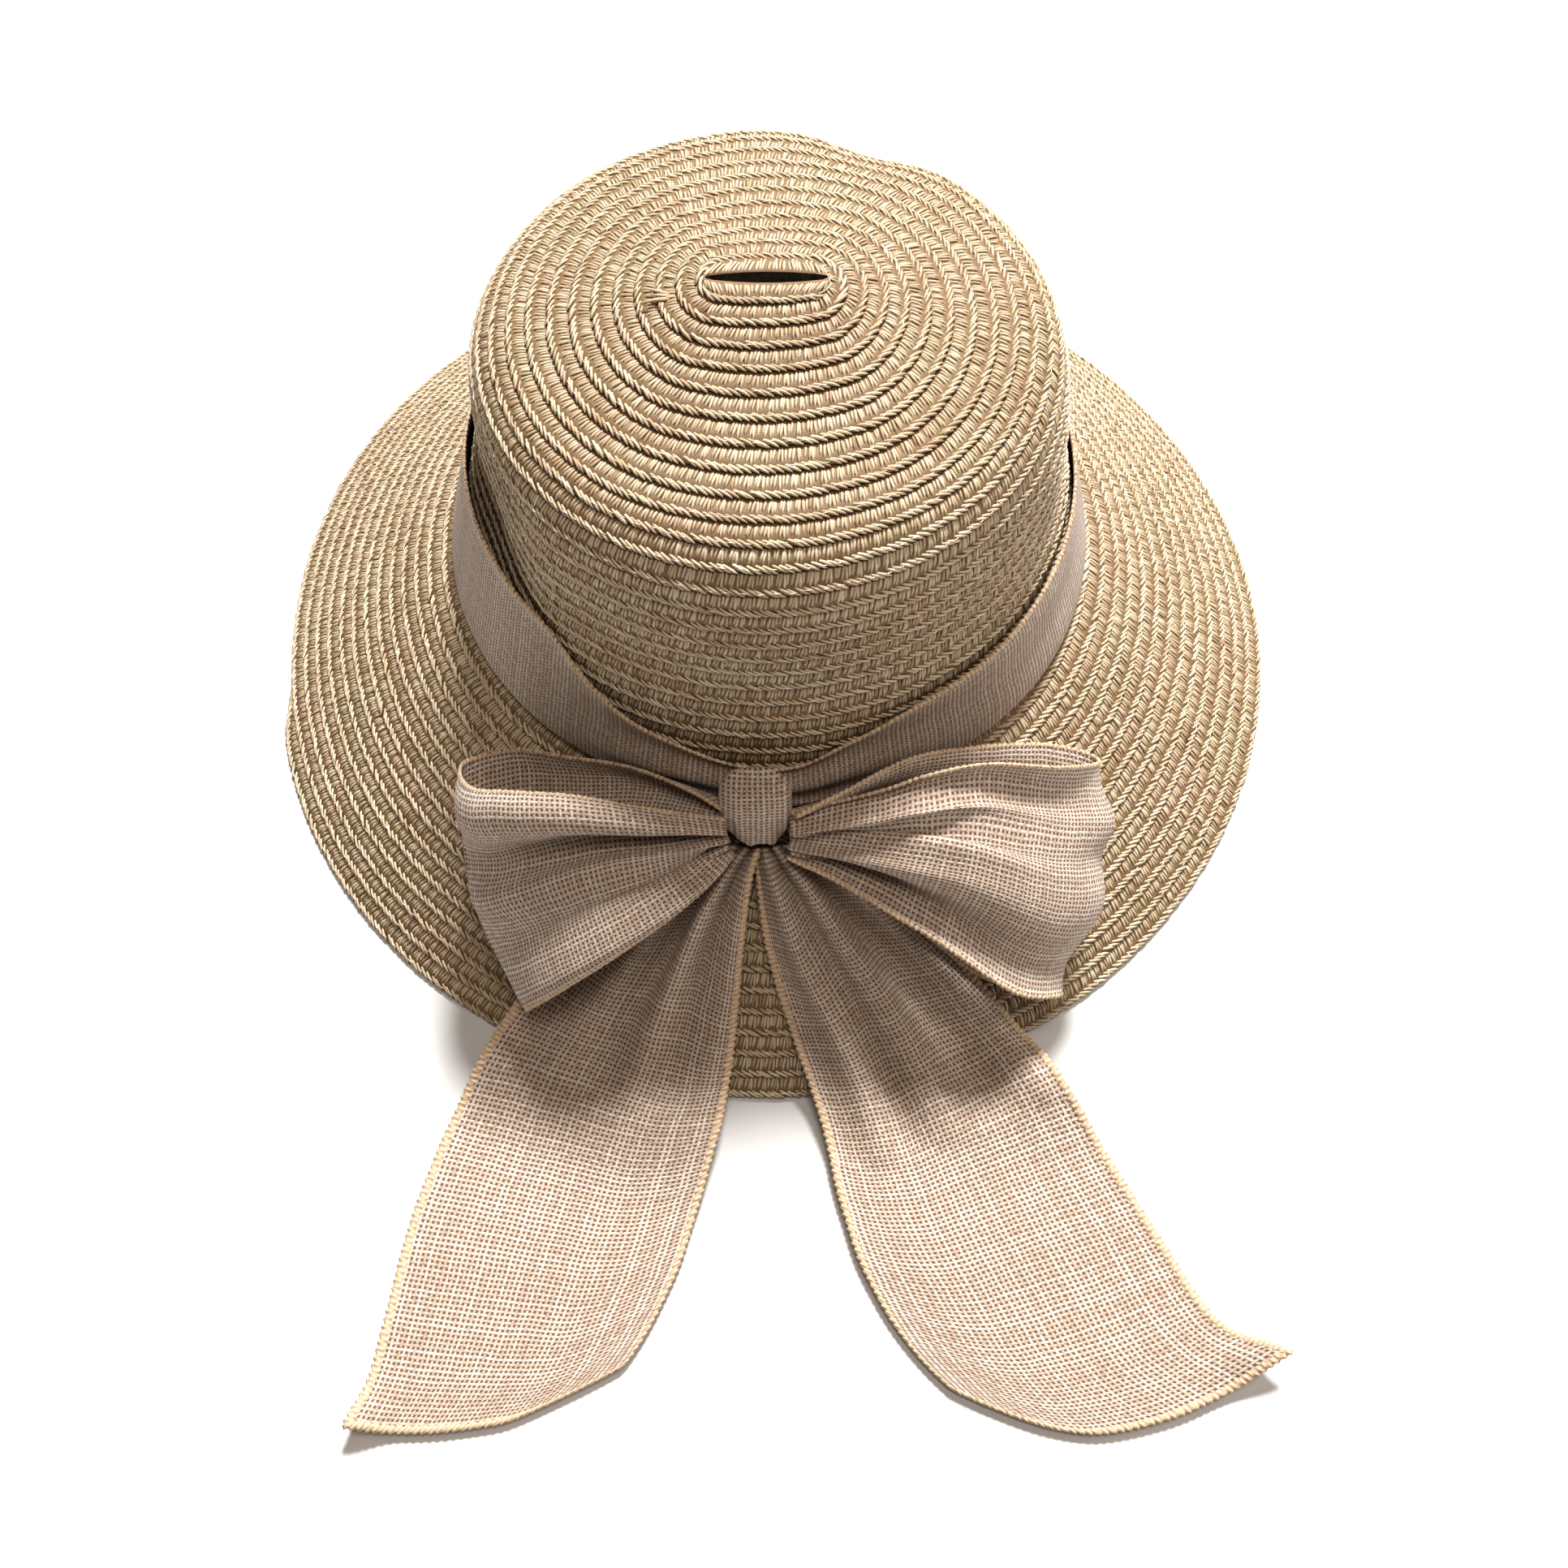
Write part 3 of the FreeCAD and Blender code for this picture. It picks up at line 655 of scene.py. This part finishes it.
def gather(grid, folds, phase):
    """Folds the ribbon along its normal so that its width at each place is the width it was cut to."""
    rows, columns = grid.shape[:2]
    normal = grid_normals(grid)
    width = np.linalg.norm(np.diff(grid, axis=1), axis=2).sum(1)
    extra = np.maximum(CUT / np.maximum(width, 1) - 1, 0)
    deep = width / (math.pi * folds) * np.sqrt(np.minimum(extra, 3.2)) * 0.92
    v = np.linspace(0, 1, columns)
    s = np.linspace(0, 1, rows)[:, None]
    warp = v[None, :] + 0.035 * np.sin(TURN * v[None, :] * 1.3 + 3 * s + phase)
    wave = np.cos(TURN * folds * warp + phase + 0.8 * s)
    return grid + normal * (deep[:, None] * wave)[..., None]


BRIM_TAN = math.tan(SLOPE)


def brim_top(x, y):
    """The height of the top of the brim's braid."""
    return -(np.hypot(x, y) - FOOT) * BRIM_TAN + 3.1


def drape(x, y, clear):
    """The height of a cloth that lies over the brim and on the surface that the hat stands on."""
    a = brim_top(x, y) + clear * 1.3
    b = np.full_like(a, FLOOR + clear)
    bend = 3.0
    return np.maximum(a, b) + bend * np.log1p(np.exp(-np.abs(a - b) / bend)) * 0.9


# ---------------------------------------------------------------- the hat
straw = straw_material("straw")
# The backing's material is the straw painted dark, as shade between and below the strands.
backing = straw_material("straw_back_painted_shade", painted_gap_shade=True)
clear = thread_material()

BRAIDS = [("crown_tip_braid_inner", 0, 10, "crown_tip"), ("crown_tip_braid_outer", 10, 14, None),
          ("crown_wall_braid_upper", 14, 20, "crown_wall"),
          ("crown_wall_braid_lower", 20, 26, None), ("brim_braid_inner", 26, 31, "brim"),
          ("brim_braid_middle", 31, 35.2, None), ("brim_braid_outer", 35.2, 38.6, None),
          ("brim_edge_braid", 38.6, 41, "brim_edge_row")]
for piece_name, low_row, high_row, node in BRAIDS:
    piece = braid_piece(piece_name, low_row - 0.6 * (low_row > 0), high_row - 0.6, [straw, backing])
    if node:
        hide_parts(node)
for piece_name, low_row, high_row, node in (("tip_stitches", 0, 14, "tip_sewing_thread"),
                                            ("wall_stitches", 14, 26, "wall_sewing_thread"),
                                            ("brim_stitches", 26, 41, "brim_sewing_thread")):
    piece = stitch_piece(piece_name, low_row - 0.6 * (low_row > 0), high_row - 0.6, clear)
    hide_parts(node)

# The braid's loose start: two short ends that stand out of the first row.
low, high = (np.array(c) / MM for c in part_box("braid_start_tab"))
middle = (low + high) / 2
prongs, prong_faces, base = [], [], 0
for side, reach, spread in ((-1, 7.4, 1.7), (1, 6.0, 1.5), (0, 4.6, 0.2)):
    s = np.linspace(0, 1, 7)
    line = np.stack([middle[0] + 3.0 - reach * s, middle[1] + side * spread * (0.5 + s ** 1.3),
                     middle[2] + 0.6 + 0.5 * np.sin(2.4 * s)], -1)
    angle = np.linspace(0, TURN, 4, endpoint=False)
    size = (1 - 0.75 * s ** 2)[:, None]
    ring = line[:, None] + np.stack([0 * angle[None] * size, np.cos(angle)[None] * 0.8 * size,
                                     np.sin(angle)[None] * 0.45 * size], -1)
    prongs.append(ring.reshape(-1, 3))
    prong_faces.append(tube_faces(1, 7) + base)
    base += ring.shape[0] * ring.shape[1]
tab = mesh_object("braid_start", np.concatenate(prongs), np.concatenate(prong_faces), [straw],
                  tones=np.full(base, 0.25))
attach(tab, "hat")
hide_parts("braid_start_tab")

# The sweatband, a tape inside the foot of the crown, and its sewing.
# The tape's gaps are painted a darker beige as shade.
tape = weave_material("tape_weave", 0.55, 0.40, (0.38, 0.33, 0.26),
                      [(0.25, (0.62, 0.55, 0.44)), (0.55, (0.72, 0.66, 0.55)),
                       (0.8, (0.80, 0.75, 0.65))], 0.5)
low, high = (np.array(c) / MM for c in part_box("sweatband"))
around = np.linspace(0, TURN, 241)[:-1]
rise = np.linspace(low[2] + 0.4, high[2] - 0.4, 13)
inner = np.where(rise > 0, FOOT - rise * math.tan(LEAN) - 0.75, FOOT - 0.75)
wavy = 0.18 * np.sin(9 * around)[:, None] + 0.12 * np.sin(23 * around + 1)[:, None]
radius = inner[None, :] - 0.2 + wavy * smooth((rise - 4) / 12)[None, :] * 0.6
row_there = wall_row(rise)
radius = radius + (crown_swell(row_there) - pushed_in(row_there, around[:, None])) * 1.04
grid = np.stack([radius * np.cos(around)[:, None], radius * np.sin(around)[:, None],
                 np.broadcast_to(rise[None, :], radius.shape)], -1)
uv = np.stack(np.broadcast_arrays((around * 88)[:, None], (rise - rise[0])[None, :]), -1)
sweatband = cloth("sweatband_tape", grid, TAPE_THICK, tape, uv, closed=True)
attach(sweatband, "hat")
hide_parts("sweatband")

low, high = (np.array(c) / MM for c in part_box("sweatband_thread"))
SEWN = 180                              # stitches round the sweatband
seam = (np.arange(SEWN)[:, None] + np.array([0.0, 0.3, 0.6])) * TURN / SEWN
radius = high[0] - 0.25 + np.array([-0.15, 0.15, -0.15])
ring = np.stack([radius * np.cos(seam), radius * np.sin(seam),
                 np.full(seam.shape, (low[2] + high[2]) / 2)], -1)
corner = np.array([[1, 0], [0, 1], [-1, 0], [0, -1]]) * 0.25
outward = np.stack([np.cos(seam), np.sin(seam), 0 * seam], -1)
points = ring[:, :, None] + outward[:, :, None] * corner[:, :1] + np.array([0, 0, 1.0]) * corner[:, 1:]
sewing = mesh_object("sweatband_sewing", points.reshape(-1, 3), tube_faces(SEWN, 3), [clear])
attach(sewing, "hat")
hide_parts("sweatband_thread")

# ---------------------------------------------------------------- the ribbon
# The ribbon's gaps are painted a near-black brown as shade.
ribbon = weave_material("ribbon_weave", 1.42, 0.262, (0.15, 0.078, 0.05),
                        [(0.22, (0.31, 0.205, 0.145)), (0.40, (0.45, 0.345, 0.27)),
                         (0.55, (0.56, 0.475, 0.395)), (0.72, (0.66, 0.605, 0.54)),
                         (0.88, (0.74, 0.71, 0.66))], 0.7)
overlock = cord_material("overlock", [(0.2, (0.34, 0.22, 0.14)), (0.5, (0.54, 0.40, 0.27)),
                                      (0.8, (0.68, 0.56, 0.40))])


def wall_outer(z):
    """Radius just clear of the wall's braid, at a height."""
    return FOOT - z * math.tan(LEAN) + 2.75 + crown_swell(wall_row(z))


# The band: its upper edge dips to the knot, and its lower part is turned up behind.
columns = 49
around = np.linspace(0, TURN, 361)[:-1] - math.pi / 2
from_knot = np.degrees(turn_gap(around, -math.pi / 2))
top = np.interp(from_knot,
                [-180, -100, -64, -43, -35, -25, -15, -8, 0, 6, 13, 23, 31, 49, 67, 100, 180],
                [39, 42, 43, 41, 33, 26, 22, 18, 15.5, 16.5, 23, 28, 30, 30.5, 32, 36, 39])
soft = np.exp(-np.linspace(-2, 2, 13) ** 2)
top = np.convolve(np.concatenate([top[-6:], top, top[:6]]), soft / soft.sum(), "valid")
dip = smooth((44 - top) / 26)
bottom = np.full_like(around, 1.8)
v = np.linspace(0, 1, columns)
face = 0.64                                              # share of the grid that faces out
share = np.where(v < face, v / face, 1 - (v - face) / (1 - face) * 0.6)
behind = smooth((v - face + 0.02) / 0.04)
z = top[:, None] + (bottom - top)[:, None] * share[None, :]
out = wall_outer(z) + 0.75 - 0.75 * behind[None, :]
ripple = (0.5 + 0.5 * np.cos(TURN * (2.4 * v[None, :] + 0.3 * np.sin(3 * around)[:, None])))
out = out + ripple * (0.15 + 2.3 * dip[:, None] ** 2) * (1 - behind)[None, :]
grid = np.stack([out * np.cos(around)[:, None], out * np.sin(around)[:, None], z], -1)[:, ::-1]
uv = np.stack(np.broadcast_arrays((around * BAND_RADIUS)[:, None], (v[::-1] * CUT)[None, :]), -1)
band = cloth("hat_band", grid, BAND_THICK, ribbon, uv, closed=True)
upper_edge = (grid[:, -1], grid[:, -2] - grid[:, -1], grid_normals(grid, True)[:, -1])
upper_edge = tuple(np.concatenate([x, x[:1]]) for x in upper_edge)      # it meets its own start
band_hem = hem("hat_band_hem", [upper_edge], 1.9, 1.1, overlock)
for piece in (band, band_hem):
    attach(piece, "ribbon")
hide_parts("ribbon_band")


def squared(a, exponent):
    """A sine or cosine made to bulge towards its corners."""
    return np.sign(a) * np.abs(a) ** exponent


# The knot: a turn of ribbon round the bow's middle, gathered into upright folds.
low, high = (np.array(c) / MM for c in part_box("bow_knot"))
centre, half = (low + high) / 2, (high - low) / 2
rows, cols = 72, 57
tall = np.linspace(-math.pi / 2, math.pi / 2, rows)[:, None]
round_ = np.linspace(0, TURN, cols, endpoint=False)[None, :]
zz = squared(np.sin(tall), 0.75) * half[2]
body = squared(np.cos(tall), 0.42)
narrow = 1 - 0.16 * smooth((half[2] * 0.3 - zz) / half[2]) + 0.05 * smooth((zz - 4) / 8)
xx = squared(np.cos(round_), 0.75) * half[0] * body * narrow
yy = -squared(np.sin(round_), 0.75) * half[1] * body
fold = 0.55 * np.cos(TURN * (xx + 0.12 * zz) / 6.1 + 0.4) + 0.25 * np.cos(TURN * (xx - 0.05 * zz) / 3.1)
yy = yy + np.where(np.sin(round_) > 0, fold * body, 0) * 0.9
xx = xx - 0.05 * (zz + half[2]) + 0.5
points = centre + np.stack(np.broadcast_arrays(xx, yy, zz), -1)
index = np.arange(rows * cols).reshape(rows, cols)
side = np.roll(index, -1, 1)
quads = np.stack([index[:-1], side[:-1], side[1:], index[1:]], -1).reshape(-1, 4)
uv = np.stack([xx + 20, zz + yy + 30], -1)
knot = mesh_object("bow_knot_cloth", points.reshape(-1, 3), quads, [ribbon], uv=uv.reshape(-1, 2))
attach(knot, "ribbon")
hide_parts("bow_knot")


def tail(name, left, right, inner, belly, swell, tip, phase, hem_node, nodes):
    """A tail from the knot over the brim and out on to the floor, between its two edges (x, y).
    inner is 0 or 1, the side towards the other tail. belly is how far the end bows out, swell how high
    the tail stands over the brim's edge, and tip is (side, height) of the corner that lifts, all in mm."""
    rows, columns = 210, 61
    a, b = curve(left, rows), curve(right, rows)
    s = np.linspace(0, 1, rows)[:, None]
    v = np.linspace(0, 1, columns)[None, :]
    # The far end is a rounded line: its inner corner is cut back and its middle bows out.
    cut = s * (1 - 0.10 * np.clip(1 - np.abs(v - inner) / 0.35, 0, 1) ** 2)
    x, y = (np.interp(cut, s[:, 0], a[:, k]) * (1 - v) + np.interp(cut, s[:, 0], b[:, k]) * v
            for k in (0, 1))
    y = y - belly * np.sin(math.pi * v) * smooth((s - 0.7) / 0.3)
    z = drape(x, y, 2.3)
    r = np.hypot(x, y)
    z = z + swell * bump(r, 163 + 10 * (v - 0.5), 17) * (0.75 + 0.25 * np.cos(3.0 * v + phase))
    near = smooth((s - 0.02) / 0.20)
    z = z * near + (1 - near) * (0.45 * np.maximum(z, 1.0) + 0.55 * z)
    z = z + 2.2 * near * (1 - smooth((r - 140) / 25)) * (1 + np.cos(TURN * 1.2 * v + phase + 2.0 * s))
    corner, lift = tip
    z = z + lift * smooth((s - 0.90) / 0.10) ** 1.5 * smooth(1 - np.abs(v - corner) / 0.30) ** 2
    z = z + 0.5 * near * np.sin(9 * s + 2 * v + phase) * smooth((r - 165) / 20) + 0.35 * near
    grid = np.stack([x, y, z], -1)
    grid = gather(grid, 3.0, phase)
    grid[..., 2] = np.maximum(grid[..., 2], drape(grid[..., 0], grid[..., 1], 1.7))
    # The cloth's length is measured over the brim's slope, along the tail's middle.
    far = lengths(grid[:, columns // 2])
    uv = np.stack(np.broadcast_arrays(far[:, None], v * CUT), -1)
    piece = cloth(name, grid, RIBBON_THICK, ribbon, uv)
    lines = [edge_line(grid, "first"), edge_line(grid, "last"), edge_line(grid, "end")]
    rim = hem(name + "_hem", lines, 2.7, 1.7, overlock, 2.1)
    for obj, slot in ((piece, "ribbon_cloth"), (rim, "ribbon_hem")):
        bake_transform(obj)
    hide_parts(*nodes)
    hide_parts(hem_node)


tail("left_tail_cloth",
     [(-12, -104), (-38, -113), (-62, -127), (-80, -146), (-90, -166), (-98, -192), (-102, -214),
      (-106, -236), (-111, -250)],
     [(-2, -105), (-5, -113), (-8, -128), (-10, -146), (-13, -166), (-19, -188), (-26, -210),
      (-37, -231), (-50, -243)],
     1.0, 3.0, 12.0, (0.0, 5.0), 0.6,
     "left_tail_hem", ["left_tail_upper", "left_tail_lower"])
tail("right_tail_cloth",
     [(-3, -105), (-3, -112), (0, -128), (8, -147), (15, -166), (20, -188), (27, -209), (40, -230),
      (61, -250)],
     [(6, -104), (26, -110), (50, -122), (71, -139), (86, -159), (98, -180), (109, -200), (121, -220),
      (139, -231)],
     0.0, 8.0, 10.0, (1.0, 7.0), 2.4,
     "right_tail_hem", ["right_tail_upper", "right_tail_lower"])


def bow_loop(name, upper_back, upper_front, lower, bulge, phase, folds, node):
    """A loop of ribbon: out from the knot behind, round its far end and back in front.
    Each edge is a line from the knot to the far end. folds is a list of (height, place across, width
    across, place along, width along) for the hollows and ridges of the front."""
    rows, columns = 170, 65
    tau = np.linspace(0.06, TURN - 0.06, rows)
    reach = (1 - np.cos(tau)) / 2
    at = np.linspace(0, 1, 200)

    def along(line):
        p = curve(line, 200)
        return np.stack([np.interp(reach, at, p[:, k]) for k in range(3)], -1)

    in_front = smooth((tau - math.pi + 0.5) / 1.0)[:, None]
    first = along(upper_back) * (1 - in_front) + along(upper_front) * in_front
    last = along(lower)
    v = np.linspace(0, 1, columns)[None, :]
    base = first[:, None] * (1 - v[..., None]) + last[:, None] * v[..., None]
    tip, root = (np.array([upper_back[k], lower[k]], float).mean(0) for k in (-1, 0))
    out = tip - root
    across = np.array(lower[-1], float) - np.array(upper_back[-1], float)
    n = np.cross(out, across)
    n = n / np.linalg.norm(n) * np.sign(n[2])
    away = out / np.linalg.norm(out)
    h = -bulge * np.sin(tau) * np.sin(tau / 2) ** 1.15
    h = h[:, None] * (0.9 - 0.2 * (v - 0.5))
    front = smooth((tau[:, None] - math.pi) / 0.8)
    for high, at_v, wide_v, at_reach, wide_reach in folds:
        h = h + front * high * bump(v, at_v, wide_v) * bump(reach[:, None], at_reach, wide_reach)
    belly = smooth(reach[:, None] / 0.5)
    grid = base + n * h[..., None]
    # The far end bows outwards between its two corners.
    grid = grid + away * (7.0 * np.sin(math.pi * v) * reach[:, None] ** 3)[..., None]
    grid = grid + n * (0.5 * belly * np.sin(TURN * (1.2 * v + 0.5 * reach[:, None]) + phase))[..., None]
    grid = gather(grid, 2.5, phase)
    far = lengths(grid[:, columns // 2])
    uv = np.stack(np.broadcast_arrays(far[:, None], v * CUT), -1)
    piece = cloth(name, grid, RIBBON_THICK, ribbon, uv)
    rim = hem(name + "_hem", [edge_line(grid, "first"), edge_line(grid, "last")], 1.5, 1.1, overlock)
    for obj, slot in ((piece, "ribbon_cloth"), (rim, "ribbon_hem")):
        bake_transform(obj)
    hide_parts(node)


bow_loop("left_loop_cloth",
         [(-11, -103, 17), (-22, -99, 19), (-40, -92, 17), (-60, -87, 13), (-74, -81, 7), (-84, -79, 1)],
         [(-11, -106, 15), (-30, -101, 15), (-48, -96, 15), (-64, -91, 9), (-76, -87, 3), (-85, -79, -2)],
         [(-11, -108, 2), (-20, -118, -4), (-42, -130, -18), (-56, -135, -29), (-67, -138, -38)],
         17.0, 0.7, [(-5.0, 0.42, 0.16, 0.55, 0.35), (3.5, 0.10, 0.14, 0.75, 0.35),
                     (3.0, 0.72, 0.16, 0.45, 0.4)],
         "left_loop")
bow_loop("right_loop_cloth",
         [(6, -103, 17), (20, -98, 20), (40, -89, 20), (62, -83, 14), (80, -78, 6), (93, -75, -3)],
         [(6, -106, 15), (28, -100, 18), (40, -96, 20), (56, -90, 17), (76, -84, 6), (94, -76, -6)],
         [(6, -108, 2), (20, -113, -3), (42, -124, -14), (64, -134, -30), (81, -133, -38)],
         16.0, 2.2, [(-6.0, 0.20, 0.13, 0.72, 0.34), (5.0, 0.42, 0.11, 0.45, 0.40),
                     (2.5, 0.75, 0.2, 0.7, 0.3)],
         "right_loop")

# ---------------------------------------------------------------- floor, light and camera
FLOOR_SIZE, FLOOR_GAP = 60, 0.3                         # m, mm
KEY_ENERGY, KEY_ANGLE, KEY_TOWARDS = 5.9, 0.2, (-0.31, -1.26, -1.84)
SKY, SKY_STRENGTH = (1.0, 0.82, 0.68, 1), 0.11
CAMERA_AT, CAMERA_DOWN = (4.4 * MM, -363.8 * MM, 510.5 * MM), math.radians(61.5)
LENS, SENSOR = 48.18, 36.0                              # mm

bpy.ops.mesh.primitive_plane_add(size=FLOOR_SIZE, location=(0, 0, (FLOOR - FLOOR_GAP) * MM))
floor = bpy.context.object
floor.name = "floor"
m, nodes, links, shader = new_material("pale_floor")
coords = nodes.new("ShaderNodeTexCoord").outputs["Object"]
paint = ramp(nodes, links, noise(nodes, links, coords, 2.0),
             [(0.3, (0.62, 0.615, 0.61)), (0.7, (0.64, 0.635, 0.63))])
links.new(paint, shader.inputs["Base Color"])
shader.inputs["Roughness"].default_value = 0.9
floor.data.materials.append(m)


def put_in_scene(name, data, direction):
    """An object of a light, turned to shine in a direction."""
    obj = bpy.data.objects.new(name, data)
    bpy.context.scene.collection.objects.link(obj)
    obj.rotation_euler = Vector(direction).to_track_quat("-Z", "Y").to_euler()
    return obj


def area_light(name, at, target, size, power, colour):
    """A round lamp that stands at a place and shines at another, in m and W."""
    data = bpy.data.lights.new(name, "AREA")
    data.shape = "DISK"
    data.size = size
    data.energy = power
    data.color = colour
    put_in_scene(name, data, Vector(target) - Vector(at)).location = at


sun = bpy.data.lights.new("key", "SUN")
sun.energy = KEY_ENERGY
sun.angle = KEY_ANGLE
put_in_scene("key", sun, KEY_TOWARDS)
area_light("top", (0.15, -0.45, 2.2), (0, -0.1, 0), 0.8, 17, (1.0, 0.92, 0.84))
area_light("fill", (1.7, 0.1, 0.9), (0, 0, 0), 1.0, 7, (1.0, 0.92, 0.85))
world = bpy.data.worlds.new("studio")
bpy.context.scene.world = world
world.use_nodes = True
background = world.node_tree.nodes["Background"]
background.inputs[0].default_value = SKY
background.inputs[1].default_value = SKY_STRENGTH
bpy.context.scene.view_settings.view_transform = "Standard"
bpy.context.scene.view_settings.look = "Medium High Contrast"

camera = bpy.data.cameras.new("camera")
camera.sensor_width = SENSOR
camera.lens = LENS
view = bpy.data.objects.new("camera", camera)
bpy.context.scene.collection.objects.link(view)
view.location = CAMERA_AT
view.rotation_euler = (math.pi / 2 - CAMERA_DOWN, 0, 0)
bpy.context.scene.camera = view
